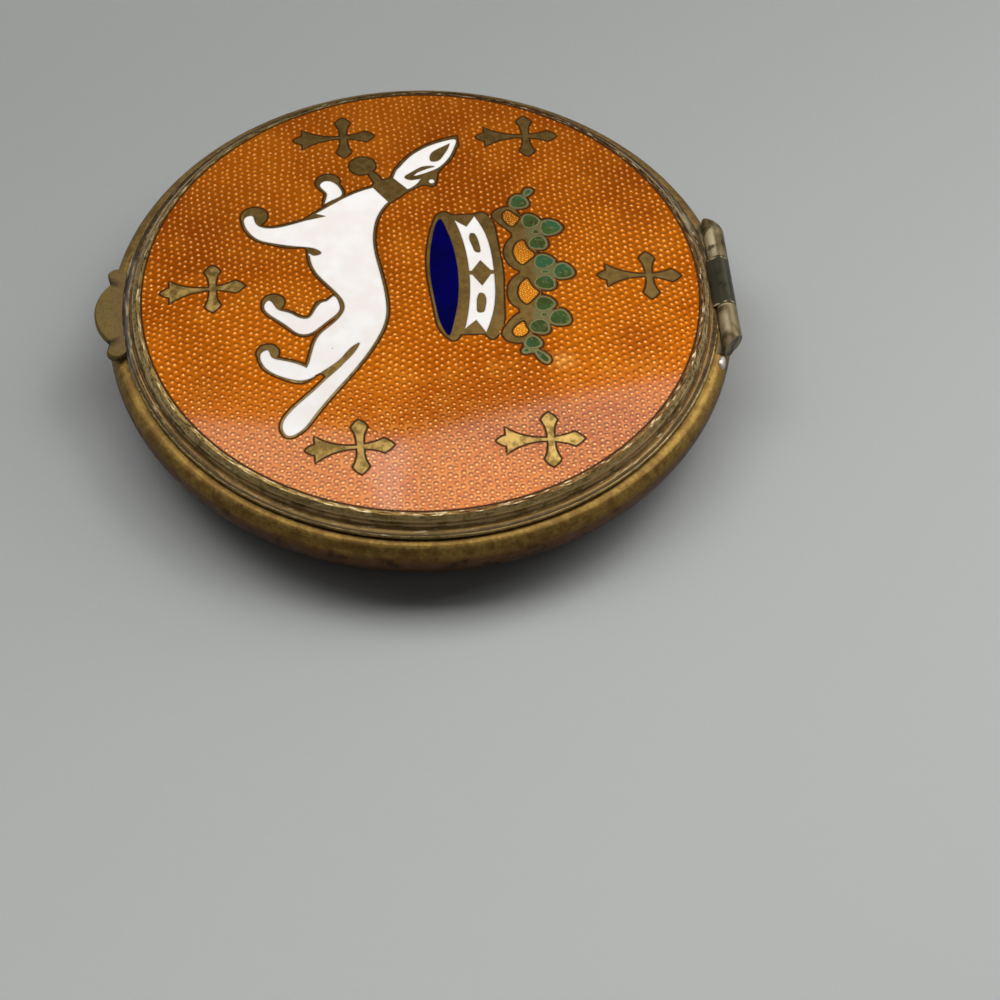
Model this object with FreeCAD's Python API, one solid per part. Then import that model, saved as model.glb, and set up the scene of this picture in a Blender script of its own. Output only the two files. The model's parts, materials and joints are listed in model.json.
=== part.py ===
import FreeCAD, Part
import math
import os

# A round hinged compact: enamelled brass lid with a mirror inside, over a brass base with an empty
# powder pan. Millimetres. The foot stands on Z = 0 at the origin, the hinge lies towards +Y and the
# thumb piece towards -Y.

V = FreeCAD.Vector

# Enamelled plaque
enamel_radius = 24.0
plaque_border = 0.4
plaque_thickness = 0.9
plaque_seat_width = 1.2
dome_rise = 1.1
enamel_depth = 0.35
line_width = 0.24
leaf_line_width = 0.2

# Lid ring
ring_height = 1.5
lip_width = 0.37
lip_drop = 0.4
cove_width = 0.45
cove_sag = 0.16
flange_width = 0.5
flange_thickness = 0.35
sleeve_wall = 0.7
sleeve_clearance = 0.25
sleeve_lip = 0.05

# Mirror, held in the sleeve
card_thickness = 0.3
mirror_thickness = 1.2
mirror_clearance = 0.1
mirror_ring_thickness = 0.55
mirror_ring_width = 1.3

# Base
base_height = 6.7
parting_gap = 0.1
rim_step = 0.15
rim_width = 0.7
shoulder_width = 1.1
shoulder_height = 1.3
foot_setback = 8.0
base_wall = 0.6
collar_wall = 0.62
collar_height = 3.3

# Hinge
barrel_radius = 0.9
barrel_half_length = 7.6
barrel_stand_off = 0.5
barrel_lift = 0.15
barrel_clearance = 0.12
bevel_run = 1.5
bevel_reach = 1.65
knuckle_half_length = 2.7
knuckle_end_gap = 0.08
pin_radius = 0.4
pin_clearance = 0.03
pin_half_length = 6.1
leaf_lap = 0.65
leaf_thickness = 0.12
leaf_tangent_angle = 120.0
saddle_depth = 0.85

# Thumb piece. The reaches are measured out from the edge of the lid's flange.
thumb_thickness = 0.55
thumb_half_width = 5.1
thumb_reach = 2.3
thumb_lap = 0.1
thumb_bevel = 0.15
ear_reach = 1.2
ear_round = 0.65
notch_reach = 0.95
notch_half_gap = 3.3

# Catch
catch_half_width = 3.5
bead_height = 0.5
bead_stand_off = 0.12
bead_below_flange = 1.2
spring_thickness = 0.3
spring_drop = 1.7
spring_clearance = 0.05

# Powder pan
pan_wall = 0.4
pan_height = 3.8
pan_rim_width = 1.5
pan_rim_clearance = 0.12
pan_floor_margin = 0.6
clip_ring_height = 0.4
clip_ring_width = 0.6
clip_ring_gap = 5.0
clip_groove_depth = 0.2

# General fits
seat_clearance = 0.03
overrun = 1.0
quarter_pull = 0.5523

# Radii that follow, from the enamel outwards and then inwards through the base
plaque_radius = enamel_radius + plaque_border
plaque_back_radius = plaque_radius - plaque_seat_width
pocket_radius = plaque_radius + seat_clearance
lip_radius = pocket_radius + lip_width
cove_foot_radius = lip_radius + cove_width
flange_radius = cove_foot_radius + flange_width
rim_outer_radius = flange_radius + rim_step
base_radius = rim_outer_radius + shoulder_width
foot_radius = base_radius - foot_setback
rim_inner_radius = rim_outer_radius - rim_width
collar_outer_radius = rim_inner_radius - seat_clearance
collar_inner_radius = collar_outer_radius - collar_wall
sleeve_outer_radius = collar_inner_radius - sleeve_clearance
sleeve_inner_radius = sleeve_outer_radius - sleeve_wall
mirror_radius = sleeve_inner_radius - mirror_clearance
pan_rim_radius = collar_inner_radius - pan_rim_clearance
pan_radius = pan_rim_radius - pan_rim_width
pan_floor_radius = foot_radius - pan_floor_margin
hinge_axis_radius = flange_radius + barrel_stand_off
dome_sphere = (enamel_radius ** 2 + dome_rise ** 2) / (2 * dome_rise)

# Heights that follow
base_widest_height = base_height - shoulder_height
collar_bottom = base_height - collar_height
lid_underside = base_height + parting_gap
flange_top = lid_underside + flange_thickness
ring_top = lid_underside + ring_height
plaque_back = ring_top - plaque_thickness
card_bottom = plaque_back - card_thickness
mirror_bottom = card_bottom - mirror_thickness
mirror_ring_bottom = mirror_bottom - mirror_ring_thickness
sleeve_bottom = mirror_ring_bottom - sleeve_lip
hinge_axis_height = lid_underside + barrel_lift
pan_bottom = base_wall
pan_top = pan_bottom + pan_height
x_axis = V(1, 0, 0)
z_axis = V(0, 0, 1)


class Profile:
    """A closed outline in the XZ plane, made of straight and curved runs, to be turned about Z."""

    def __init__(self, r, z):
        self.start = V(r, 0, z)
        self.at = self.start
        self.edges = []

    def line(self, r, z):
        end = V(r, 0, z)
        self.edges.append(Part.LineSegment(self.at, end).toShape())
        self.at = end
        return self

    def arc(self, via, end):
        end = V(end[0], 0, end[1])
        self.edges.append(Part.Arc(self.at, V(via[0], 0, via[1]), end).toShape())
        self.at = end
        return self

    def quarter(self, corner, end):
        """A quarter of an ellipse that would reach the corner if it were square."""
        corner = V(corner[0], 0, corner[1])
        end = V(end[0], 0, end[1])
        curve = Part.BezierCurve()
        pull_out = self.at + (corner - self.at) * quarter_pull
        pull_in = end + (corner - end) * quarter_pull
        curve.setPoles([self.at, pull_out, pull_in, end])
        self.edges.append(curve.toShape())
        self.at = end
        return self

    def turned(self):
        if (self.at - self.start).Length > 1e-6:
            self.line(self.start.x, self.start.z)
        return Part.Face(Part.Wire(self.edges)).revolve(V(0, 0, 0), z_axis, 360)


def dome_height(r, below=0.0):
    """Height of the domed enamel face at a radius, or of the same dome lowered."""
    return ring_top + dome_rise - below - dome_sphere + math.sqrt(dome_sphere ** 2 - r ** 2)


def tube(outer, inner, bottom, height):
    ring = Part.makeCylinder(outer, height, V(0, 0, bottom))
    return ring.cut(Part.makeCylinder(inner, height + 2 * overrun, V(0, 0, bottom - overrun)))


def barrel(radius, x_from, x_to):
    """A cylinder round the hinge axis."""
    return Part.makeCylinder(radius, x_to - x_from, V(x_from, hinge_axis_radius, hinge_axis_height), x_axis)


def block(x_from, x_to, y_from, y_to, z_from, z_to):
    return Part.makeBox(x_to - x_from, y_to - y_from, z_to - z_from, V(x_from, y_from, z_from))


# Outlines of the enamel work. Each is a list of points on the lid, drawn for a field of drawing_radius
# and scaled with the real one. A smooth curve runs through the points, and a point marked sharp is a
# corner. A point marked slit belongs to a narrow cut into the figure, which the brass outline round the
# figure bridges.
drawing_radius = 24.0
drawing_scale = enamel_radius / drawing_radius
sharp = "sharp"
slit = "slit"

spot_centres = [(-0.1, 19.7), (-17.75, 10.5), (-18.5, -5.9), (-0.85, -17.85), (17.45, 9.6), (17.3, -6.05)]
spot_half = [
    (0.0, 2.85, sharp), (0.42, 2.48), (0.75, 2.0, sharp), (0.38, 1.05), (0.25, 0.36, sharp), (1.1, 0.4),
    (1.95, 0.73, sharp), (2.42, 0.42), (2.75, 0.0, sharp), (2.42, -0.4), (1.95, -0.7, sharp), (1.1, -0.37),
    (0.2, -0.3, sharp), (0.22, -1.0), (0.42, -2.0), (0.85, -3.0),
    (1.35, -3.7, sharp), (0.55, -3.72, sharp), (0.3, -4.25), (0.0, -4.5)]

body = [
    (-9.75, -2.3, sharp), (-8.0, -3.35), (-6.4, -3.75), (-4.3, -3.85), (-1.5, -3.5), (1.5, -3.15),
    (4.0, -3.25), (6.3, -4.15), (10.0, -6.65), (14.0, -9.75), (15.45, -11.0), (15.7, -11.85),
    (14.95, -12.3), (13.4, -11.7), (11.6, -9.9), (10.0, -8.35, sharp), (8.6, -7.0, slit), (7.1, -5.8, slit),
    (6.5, -5.6, slit), (6.7, -6.0, slit), (8.0, -7.15, slit), (9.35, -8.85), (10.1, -10.3), (9.65, -12.0),
    (8.7, -13.35), (7.65, -13.9), (6.75, -13.75), (6.6, -13.3), (7.25, -13.05), (7.75, -12.3),
    (8.15, -11.2), (8.8, -10.1, sharp), (8.2, -9.85), (6.8, -9.5), (5.45, -8.95), (4.2, -7.7), (3.3, -6.95),
    (2.5, -6.65), (1.6, -6.8), (0.7, -7.3), (-0.3, -8.0), (-1.6, -8.85), (-2.9, -9.3), (-4.1, -9.4, sharp),
    (-3.75, -8.75, slit), (-3.95, -8.4, slit), (-4.4, -8.7, slit), (-4.8, -9.6), (-5.05, -10.8),
    (-5.6, -12.6), (-6.1, -13.7), (-7.0, -14.5), (-8.1, -14.95), (-9.05, -14.8), (-9.15, -14.3),
    (-8.4, -14.05), (-7.65, -13.5), (-7.4, -12.4), (-7.65, -11.0), (-8.05, -9.6, sharp),
    (-8.42, -7.8, sharp, slit), (-8.8, -8.7, sharp), (-9.6, -7.55), (-10.5, -6.2), (-11.2, -4.85),
    (-11.65, -3.55, sharp)]
hind_leg = [
    (1.15, -7.55), (2.0, -7.1), (2.85, -7.15), (3.7, -7.95), (4.6, -8.95), (5.15, -9.85), (5.1, -10.5),
    (4.3, -11.4), (3.2, -12.5), (2.4, -13.25), (1.6, -13.45), (1.1, -13.05), (1.5, -12.7), (2.2, -12.3),
    (2.65, -11.4), (3.3, -10.5), (3.45, -9.9), (2.6, -9.2), (1.7, -8.3)]
far_foreleg = [
    (-10.95, -6.35), (-11.9, -6.5), (-12.65, -7.05), (-12.85, -7.75), (-12.4, -8.2), (-11.85, -8.0),
    (-11.25, -7.65), (-10.5, -7.75), (-9.95, -7.9, sharp), (-10.4, -7.15)]
head = [
    (-17.5, 4.15), (-16.46, 3.98), (-15.3, 3.52), (-14.25, 2.8), (-13.7, 2.2), (-13.42, 1.65),
    (-13.1, 0.95), (-12.9, 0.1, sharp), (-13.4, 0.65), (-13.8, 1.5), (-14.02, 2.05), (-14.12, 1.35),
    (-13.8, 0.5), (-13.25, -0.25), (-12.75, -0.68), (-12.42, -0.3), (-12.42, 0.3), (-12.5, 0.75, sharp),
    (-11.85, 0.35), (-11.22, -0.5, sharp), (-12.75, -1.7, sharp), (-14.0, -1.15), (-15.1, -0.35),
    (-16.0, 0.55), (-16.8, 1.75), (-17.35, 3.1)]
head_outline = [
    (-18.05, 4.35, sharp), (-16.4, 4.2), (-15.1, 3.72), (-13.95, 2.85), (-13.2, 2.35), (-12.2, 2.15),
    (-11.4, 1.75), (-11.65, 1.15), (-11.4, 0.35), (-10.85, -0.55, sharp), (-12.85, -1.95, sharp),
    (-14.2, -1.35), (-15.35, -0.5), (-16.25, 0.4), (-17.05, 1.6), (-17.7, 3.0)]
eye = [
    (-17.05, 3.62, sharp), (-16.2, 3.35), (-15.3, 2.85), (-14.7, 2.3), (-14.75, 1.78), (-15.25, 1.7),
    (-15.95, 2.0), (-16.45, 2.7)]
ear_tip = (-12.1, 1.68, 0.26)
collar_band = [
    (-12.95, -1.7, sharp), (-11.05, -0.4, sharp), (-10.3, -1.2), (-9.5, -2.2, sharp), (-10.7, -2.7),
    (-11.75, -3.75, sharp), (-12.45, -3.1), (-12.65, -2.4)]
pendant_link = [
    (-14.0, -3.9, sharp), (-13.4, -3.1), (-12.3, -2.7, sharp), (-12.1, -3.3, sharp), (-13.2, -3.8)]
paws = [(-9.0, -14.1, 1.2), (-12.65, -7.5, 1.1), (1.4, -12.7, 1.0), (6.9, -13.3, 0.98)]
pendant = (-14.55, -4.35, 1.2)

cap = [
    (-7.3, 2.1), (-6.6, 2.42), (-4.4, 2.92), (-0.7, 3.22), (3.2, 2.85), (5.4, 2.32), (6.2, 1.98), (5.5, 1.58),
    (3.3, 1.15), (-0.5, 0.86), (-4.3, 1.15), (-6.55, 1.65)]
lower_rim = [
    (-8.15, 2.5), (-7.6, 3.3), (-4.2, 3.95), (-0.7, 4.2), (3.2, 3.85), (6.1, 3.1), (6.85, 2.4), (6.3, 1.65),
    (3.6, 0.9), (-0.5, 0.55), (-4.6, 0.85), (-7.5, 1.65)]
crown_wall = [
    (-7.75, 2.9, sharp), (-7.75, 5.7, sharp), (-4.5, 6.4, sharp), (-0.7, 6.7, sharp), (3.0, 6.4, sharp),
    (6.25, 5.6, sharp), (6.2, 2.8, sharp)]
band = [
    (-7.05, 3.38, sharp), (-4.2, 3.97), (-0.8, 4.2), (3.0, 3.92), (5.6, 3.37, sharp), (4.65, 4.4, sharp),
    (6.05, 5.15, sharp), (3.5, 5.98), (-0.7, 6.33), (-4.8, 6.03), (-7.5, 5.12, sharp), (-6.25, 4.35, sharp)]
lozenge = [(-2.15, 5.25, sharp), (-0.75, 6.2, sharp), (0.8, 5.2, sharp), (-0.75, 4.3, sharp)]
lozenge_post = [(-0.95, 4.0, sharp), (-0.95, 6.5, sharp), (-0.52, 6.5, sharp), (-0.52, 4.0, sharp)]
left_bar = [
    (-5.4, 4.9), (-5.1, 5.1), (-3.6, 5.35), (-3.1, 5.25), (-3.2, 4.9), (-3.6, 4.75), (-5.0, 4.5),
    (-5.35, 4.6)]
right_bar = [
    (1.68, 5.2), (1.9, 5.35), (3.4, 5.25), (3.8, 5.05), (3.75, 4.6), (3.4, 4.55), (2.0, 4.72), (1.7, 4.85)]
upper_rim = [
    (-7.95, 5.75), (-7.65, 6.25), (-4.8, 6.92), (-0.8, 7.15), (3.3, 6.92), (6.3, 6.25), (6.85, 5.6),
    (6.35, 5.1), (3.0, 5.8), (-0.8, 6.15), (-4.8, 5.85), (-7.5, 5.1)]
arches = [
    [(-8.55, 8.2), (-8.2, 7.1), (-7.6, 6.65), (-6.6, 7.1), (-5.6, 7.95), (-4.9, 8.8), (-5.3, 9.4),
     (-7.1, 9.3)],
    [(-5.3, 9.3), (-4.9, 8.3), (-4.0, 7.6), (-2.9, 7.32), (-1.8, 7.55), (-0.95, 8.2), (-0.6, 9.3),
     (-1.2, 9.8), (-2.75, 10.25), (-4.6, 9.8)],
    [(-0.7, 9.3), (-0.3, 8.2), (0.6, 7.52), (1.8, 7.28), (2.9, 7.5), (3.6, 8.15), (4.1, 9.2), (3.3, 9.7),
     (1.75, 10.25), (0.2, 9.8)],
    [(3.7, 8.9), (4.3, 7.7), (5.3, 6.9), (6.4, 6.45), (7.0, 6.8), (7.35, 7.7), (7.0, 8.8), (6.1, 9.15),
     (4.6, 9.3)]]
arch_cells = [
    [(-8.1, 7.9), (-7.3, 7.5), (-6.6, 7.75), (-6.05, 8.4), (-6.5, 8.8), (-7.15, 9.12), (-7.65, 8.7)],
    [(-4.45, 9.0), (-3.9, 8.35), (-3.0, 8.12), (-2.1, 8.3), (-1.45, 8.9), (-1.85, 9.4), (-2.7, 10.08),
     (-3.6, 9.5)],
    [(0.1, 9.0), (0.8, 8.4), (1.7, 8.15), (2.6, 8.35), (3.1, 8.85), (2.6, 9.45), (1.75, 10.05), (0.9, 9.5)],
    [(4.9, 8.4), (5.3, 7.8), (5.95, 7.35), (6.55, 7.5), (6.7, 8.1), (6.45, 8.55), (6.0, 8.8), (5.5, 8.62)]]
stems = [(-5.15, 8.95, 0.6, 0.75), (-0.62, 9.3, 0.75, 0.8), (4.05, 8.9, 0.75, 0.75)]
leaf_hearts = [
    (-9.55, 9.35, 0.6), (-5.5, 10.35, 1.0), (-0.63, 10.75, 0.95), (4.25, 10.25, 0.95), (7.9, 8.9, 0.6)]
# Leaf lobes: centre, half width, half height, turn in degrees
lobes = [
    (-9.15, 9.15, 0.8, 0.78, 0), (-10.3, 10.02, 0.5, 0.28, 145),
    (-5.95, 11.65, 0.88, 0.92, 15), (-6.75, 9.95, 0.8, 0.76, 20), (-4.1, 10.45, 0.82, 0.76, -20),
    (-5.4, 10.35, 0.3, 0.34, 0),
    (-0.7, 12.3, 0.86, 0.84, 0), (-1.85, 10.7, 0.8, 0.86, 20), (0.6, 10.65, 0.8, 0.86, -20),
    (-0.62, 10.75, 0.24, 0.38, 0),
    (4.6, 11.55, 0.84, 0.86, -15), (3.0, 10.35, 0.78, 0.82, 20), (5.55, 9.75, 0.8, 0.82, -25),
    (4.25, 10.25, 0.27, 0.3, 0),
    (7.25, 9.0, 0.66, 0.66, 0), (8.15, 8.38, 0.26, 0.28, 0), (8.8, 9.66, 0.8, 0.32, 38)]


def unit(v):
    return v * (1.0 / v.Length)


def across(v):
    """The direction a quarter turn to the right of another."""
    return V(v.y, -v.x, 0)


def mirrored(half):
    """A whole outline from its right half, which starts and ends on the middle line."""
    left = [(-p[0],) + p[1:] for p in reversed(half[1:-1])]
    return half + left


def shifted(points, x, y):
    return [(p[0] + x, p[1] + y) + tuple(p[2:]) for p in points]


def oval(x, y, half_width, half_height, turn):
    """Four points of an oval turned about its centre."""
    c = math.cos(math.radians(turn))
    s = math.sin(math.radians(turn))
    corners = [(half_width, 0), (0, half_height), (-half_width, 0), (0, -half_height)]
    return [(x + c * a - s * b, y + s * a + c * b) for a, b in corners]


def rectangle(x, y, half_width, half_height):
    corners = [(-1, -1), (1, -1), (1, 1), (-1, 1)]
    return [(x + a * half_width, y + b * half_height, sharp) for a, b in corners]


def directions(points, is_sharp):
    """The tangent into and out of each point, those of the circle through it and its neighbours, unless it
    is sharp."""
    count = len(points)
    runs = [points[(i + 1) % count] - points[i] for i in range(count)]
    smooth = []
    for i in range(count):
        before = runs[i - 1]
        after = runs[i]
        smooth.append(unit(unit(before) * after.Length + unit(after) * before.Length))
    result = []
    for i in range(count):
        if not is_sharp[i]:
            result.append((smooth[i], smooth[i]))
            continue
        before = unit(runs[i - 1])
        after = unit(runs[i])
        far_in = before if is_sharp[i - 1] else smooth[i - 1]
        far_out = after if is_sharp[(i + 1) % count] else smooth[(i + 1) % count]
        come = before * (2 * before.dot(far_in)) - far_in
        leave = after * (2 * after.dot(far_out)) - far_out
        result.append((come, leave))
    return result


def outline_edges(spots, is_sharp):
    """A smooth curve through each run of points from one corner to the next."""
    count = len(spots)
    ways = directions(spots, is_sharp)
    corners = [i for i in range(count) if is_sharp[i]]
    if not corners:
        curve = Part.BSplineCurve()
        curve.interpolate(spots, PeriodicFlag=True)
        return [curve.toShape()]
    edges = []
    for first, last in zip(corners, corners[1:] + [corners[0] + count]):
        run = [spots[i % count] for i in range(first, last + 1)]
        if len(run) == 2:
            edges.append(Part.LineSegment(run[0], run[1]).toShape())
            continue
        curve = Part.BSplineCurve()
        curve.interpolate(Points=run, InitialTangent=ways[first][1], FinalTangent=ways[last % count][0])
        edges.append(curve.toShape())
    return edges


def outline_face(points, grow=0.0, scale=drawing_scale):
    """A flat face inside an outline, which may first be moved outwards by a width."""
    if grow != 0:
        points = [p for p in points if slit not in p]
    spots = [V(p[0], p[1], 0) * scale for p in points]
    is_sharp = [sharp in p for p in points]
    area = sum(a.x * b.y - a.y * b.x for a, b in zip(spots, spots[1:] + spots[:1]))
    if area < 0:
        spots.reverse()
        is_sharp.reverse()
    if grow != 0:
        moved = []
        for spot, (come, leave) in zip(spots, directions(spots, is_sharp)):
            side = across(come) + across(leave)
            moved.append(spot + side * (grow / max(1 + come.dot(leave), 0.5)))
        spots = moved
    return Part.Face(Part.Wire(outline_edges(spots, is_sharp)))


def disc_face(circle):
    x, y, radius = (size * drawing_scale for size in circle)
    return Part.Face(Part.Wire(Part.makeCircle(radius, V(x, y, 0))))


def prism(face):
    """A face drawn on the lid, drawn out through the whole thickness of the plaque."""
    solid = face.extrude(V(0, 0, plaque_thickness + dome_rise + 2 * overrun))
    solid.translate(V(0, 0, plaque_back - overrun))
    return solid


def above_enamel_floor():
    """Everything over the enamel field above the floor of its cells."""
    top = ring_top + dome_rise + overrun
    middle = enamel_radius / 2
    profile = Profile(0, dome_height(0, enamel_depth))
    profile.arc((middle, dome_height(middle, enamel_depth)),
                (enamel_radius, dome_height(enamel_radius, enamel_depth)))
    profile.line(enamel_radius, top).line(0, top)
    return profile.turned()


def brass_figures():
    """The brass parts of the design that bound the orange field."""
    faces = [outline_face(shifted(mirrored(spot_half), x, y)) for x, y in spot_centres]
    faces += [outline_face(points, line_width) for points in (body, hind_leg, far_foreleg)]
    faces += [outline_face(points) for points in (head_outline, collar_band, pendant_link)]
    faces += [disc_face(circle) for circle in paws + [pendant] + leaf_hearts]
    faces += [outline_face(points) for points in [lower_rim, crown_wall, upper_rim] + arches]
    faces += [outline_face(rectangle(*stem)) for stem in stems]
    faces += [outline_face(oval(*lobe), leaf_line_width) for lobe in lobes]
    return [prism(face) for face in faces]


def enamel_cutters():
    """The cells that hold each colour, open at the top, by node name."""
    above_floor = above_enamel_floor()

    def cells(faces, islands=()):
        solids = [above_floor.common(prism(face)) for face in faces]
        islands = [prism(face) for face in islands]
        return [solid.cut(islands) if islands else solid for solid in solids]

    white = cells([outline_face(body), outline_face(hind_leg), outline_face(far_foreleg), disc_face(ear_tip)])
    white += cells([outline_face(head)], [outline_face(eye)])
    band_islands = [outline_face(points) for points in (lozenge, lozenge_post, left_bar, right_bar)]
    return {
        "orange_field_enamel": [above_floor.cut(brass_figures())],
        "white_beast_enamel": white,
        "blue_cap_enamel": cells([outline_face(cap)]),
        "white_crown_band_enamel": cells([outline_face(band)], band_islands),
        "amber_arch_enamel": cells([outline_face(points) for points in arch_cells]),
        "green_leaf_enamel": cells([outline_face(oval(*lobe)) for lobe in lobes]),
    }


def plaque_blank():
    """The domed brass plate before its cells are cut, flat round the back where it is seated."""
    back_rise = dome_rise * (plaque_back_radius / enamel_radius) ** 2
    back_sphere = (plaque_back_radius ** 2 + back_rise ** 2) / (2 * back_rise)
    half = plaque_back_radius / 2
    back_half = plaque_back + back_rise - back_sphere + math.sqrt(back_sphere ** 2 - half ** 2)
    profile = Profile(0, plaque_back + back_rise)
    profile.arc((half, back_half), (plaque_back_radius, plaque_back))
    profile.line(plaque_radius, plaque_back).line(plaque_radius, dome_height(plaque_radius))
    profile.arc((plaque_radius / 2, dome_height(plaque_radius / 2)), (0, dome_height(0)))
    return profile.turned()


def enamelled_plaque():
    """The brass plaque with its sunk cells, and the enamel that fills them flush."""
    blank = plaque_blank()
    plaque = blank
    fills = {}
    for name, cutters in enamel_cutters().items():
        solids = [solid for cutter in cutters for solid in cutter.common(blank).Solids]
        fills[name] = Part.makeCompound(solids)
        plaque = plaque.cut(cutters)
    return plaque, fills


def lid_ring_blank():
    """The moulded ring round the lid, with the pocket for the plaque and the sleeve that enters the base."""
    lip_foot = ring_top - lip_drop
    cove_middle = ((lip_radius + cove_foot_radius) / 2 - cove_sag, (lip_foot + flange_top) / 2 - cove_sag)
    edge = flange_thickness / 2
    profile = Profile(pocket_radius, ring_top)
    profile.line(lip_radius, lip_foot)
    profile.arc(cove_middle, (cove_foot_radius, flange_top))
    profile.line(flange_radius - edge, flange_top)
    profile.arc((flange_radius, flange_top - edge), (flange_radius - edge, lid_underside))
    profile.line(sleeve_outer_radius, lid_underside).line(sleeve_outer_radius, sleeve_bottom)
    profile.line(sleeve_inner_radius, sleeve_bottom).line(sleeve_inner_radius, plaque_back)
    profile.line(pocket_radius, plaque_back)
    return profile.turned()


def lid_ring():
    room = barrel(barrel_radius + barrel_clearance, -barrel_half_length, barrel_half_length)
    return lid_ring_blank().cut(room)


def mirror_ring():
    """The ring that holds the glass up in the sleeve, rounded where it meets the eye."""
    outer = sleeve_inner_radius - seat_clearance
    inner = outer - mirror_ring_width
    profile = Profile(outer, mirror_bottom)
    profile.line(outer, mirror_ring_bottom).line(inner + mirror_ring_thickness, mirror_ring_bottom)
    profile.quarter((inner, mirror_ring_bottom), (inner, mirror_bottom))
    return profile.turned()


def thumb_outline(inset, z):
    """The outline of the thumb piece at a height, drawn in by a width along its free edges."""
    inner = flange_radius - thumb_lap
    ear_root = thumb_half_width - ear_round
    ear_side = -math.sqrt(inner ** 2 - ear_root ** 2)
    ear_end = inset - flange_radius - ear_reach
    ear_middle = (ear_side + ear_end) / 2
    ear_tip_x = thumb_half_width - inset
    notch = inset - flange_radius - notch_reach
    tip = inset - flange_radius - thumb_reach

    def at(x, y):
        return V(x, y, z)

    edges = [
        Part.Arc(at(-ear_root, ear_side), at(0, -inner), at(ear_root, ear_side)),
        Part.Arc(at(ear_root, ear_side), at(ear_tip_x, ear_middle), at(ear_root, ear_end)),
        Part.LineSegment(at(ear_root, ear_end), at(notch_half_gap, notch)),
        Part.Arc(at(notch_half_gap, notch), at(0, tip), at(-notch_half_gap, notch)),
        Part.LineSegment(at(-notch_half_gap, notch), at(-ear_root, ear_end)),
        Part.Arc(at(-ear_root, ear_end), at(-ear_tip_x, ear_middle), at(-ear_root, ear_side))]
    return Part.Wire([edge.toShape() for edge in edges])


def thumb_piece():
    """A flat lip of one broad lobe between two small ears, bevelled on top and lapped on the lid's flange."""
    straight = thumb_thickness - thumb_bevel
    bevel_bottom = lid_underside + straight
    plate = Part.Face(thumb_outline(0, lid_underside)).extrude(V(0, 0, straight))
    bevel_foot = thumb_outline(0, bevel_bottom)
    bevel_top = thumb_outline(thumb_bevel, bevel_bottom + thumb_bevel)
    bevel = Part.makeLoft([bevel_foot, bevel_top], True, True)
    return plate.fuse(bevel).removeSplitter().cut(lid_ring_blank())


def catch_bead():
    """A low rounded bead along the front of the sleeve that closes past the catch spring."""
    middle = lid_underside - bead_below_flange
    half = bead_height / 2
    profile = Profile(sleeve_outer_radius, middle - half)
    profile.arc((sleeve_outer_radius + bead_stand_off, middle), (sleeve_outer_radius, middle + half))
    front = block(-catch_half_width, catch_half_width, -base_radius, 0, 0, ring_top)
    return profile.turned().common(front)


def catch_spring():
    """A thin strip let into the front of the collar, which grips the bead."""
    outer = collar_inner_radius + spring_thickness
    strip = tube(outer, collar_inner_radius, base_height - spring_drop, spring_drop)
    return strip.common(block(-catch_half_width, catch_half_width, -base_radius, 0, 0, ring_top))


def base_outside():
    """The outer form of the base as a full solid: flat foot, bowl, round shoulder and flat rim."""
    profile = Profile(0, 0)
    profile.line(foot_radius, 0)
    profile.quarter((base_radius, 0), (base_radius, base_widest_height))
    profile.quarter((base_radius, base_height), (rim_outer_radius, base_height))
    profile.line(0, base_height)
    return profile.turned()


def base_inside():
    """The hollow of the spun bowl, one wall inside its outer form and open at the rim."""
    wall_radius = base_radius - base_wall
    mouth = base_height - base_wall
    profile = Profile(0, base_wall)
    profile.line(foot_radius, base_wall)
    profile.quarter((wall_radius, base_wall), (wall_radius, base_widest_height))
    profile.quarter((wall_radius, mouth), (rim_inner_radius, mouth))
    profile.line(rim_inner_radius, base_height + overrun).line(0, base_height + overrun)
    return profile.turned()


def base_bowl():
    """The spun bowl of the base, cut away where the hinge barrel lies in its shoulder."""
    swing_end = knuckle_half_length + knuckle_end_gap
    swing_room = barrel(barrel_radius + barrel_clearance, -swing_end, swing_end)
    seat = barrel(barrel_radius + seat_clearance, -barrel_half_length, barrel_half_length)
    return base_outside().cut([base_inside(), swing_room, seat])


def base_collar():
    """The sleeve soldered inside the rim, with a groove for the clip ring and a bed for the catch spring."""
    sleeve = tube(collar_outer_radius, collar_inner_radius, collar_bottom, collar_height)
    groove = tube(collar_inner_radius + clip_groove_depth, collar_inner_radius - overrun,
                  pan_top, clip_ring_height)
    bed = tube(collar_inner_radius + spring_thickness + spring_clearance, collar_inner_radius - overrun,
               base_height - spring_drop - spring_clearance, spring_drop + overrun)
    front = block(-catch_half_width - spring_clearance, catch_half_width + spring_clearance,
                  -base_radius, 0, 0, ring_top)
    return sleeve.cut([groove, bed.common(front)])


def lid_knuckle(ring):
    """The middle knuckle with its leaf, soldered to the lid's flange."""
    leaf_end = flange_radius - leaf_lap
    leaf_bottom = hinge_axis_height - parting_gap
    lean = math.radians(leaf_tangent_angle)
    tangent = (hinge_axis_radius + barrel_radius * math.cos(lean),
               hinge_axis_height + barrel_radius * math.sin(lean))
    section = [(hinge_axis_radius, leaf_bottom), tangent, (leaf_end, flange_top + leaf_thickness),
               (leaf_end, leaf_bottom), (hinge_axis_radius, leaf_bottom)]
    wedge = Part.Face(Part.makePolygon([V(-knuckle_half_length, y, z) for y, z in section]))
    leaf = wedge.extrude(V(2 * knuckle_half_length, 0, 0)).cut(ring)
    bore = barrel(pin_radius + pin_clearance, -barrel_half_length, barrel_half_length)
    knuckle = barrel(barrel_radius, -knuckle_half_length, knuckle_half_length)
    return knuckle.fuse(leaf).cut(bore).removeSplitter()


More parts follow.
